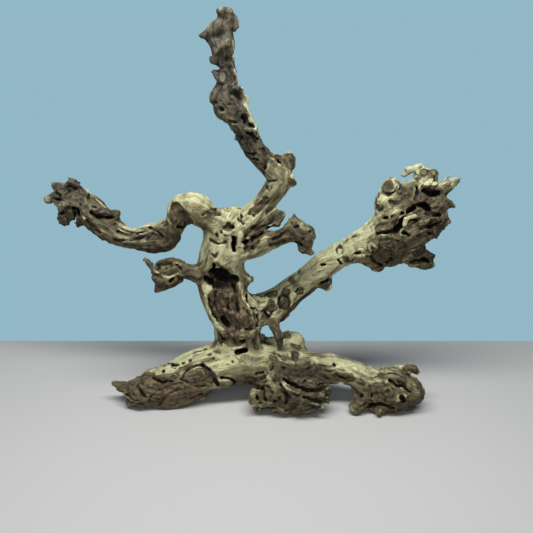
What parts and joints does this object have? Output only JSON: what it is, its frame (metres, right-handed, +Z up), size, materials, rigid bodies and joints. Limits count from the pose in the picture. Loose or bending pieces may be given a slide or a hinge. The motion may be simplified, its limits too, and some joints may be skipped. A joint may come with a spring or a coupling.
{
  "type": "coral wood driftwood",
  "caption": "Branching sand-blasted driftwood with a hollowed trunk, gnarled arms and a burl, standing on its own roots.",
  "frame": {"origin": "middle of the piece seen from above, on the surface it stands on", "axes": "+X to the right along its length, +Y away from the viewer, +Z up"},
  "size_m": [0.3738, 0.1307, 0.3443],
  "materials": {
    "pale_wood": "sand-blasted, matt, with fine raised grain",
    "dark_wood": "weathered, matt, rough"
  },
  "bodies": {
    "root": {"root_crown": "pale_wood", "left_root": "pale_wood", "right_root": "pale_wood", "back_root": "pale_wood", "front_burl": "dark_wood", "trunk": "pale_wood", "left_arm": "pale_wood", "left_spur": "dark_wood", "upper_arm": "dark_wood", "right_spur": "dark_wood", "right_arm": "pale_wood", "hanging_twig": "dark_wood"}
  },
  "joints": []
}
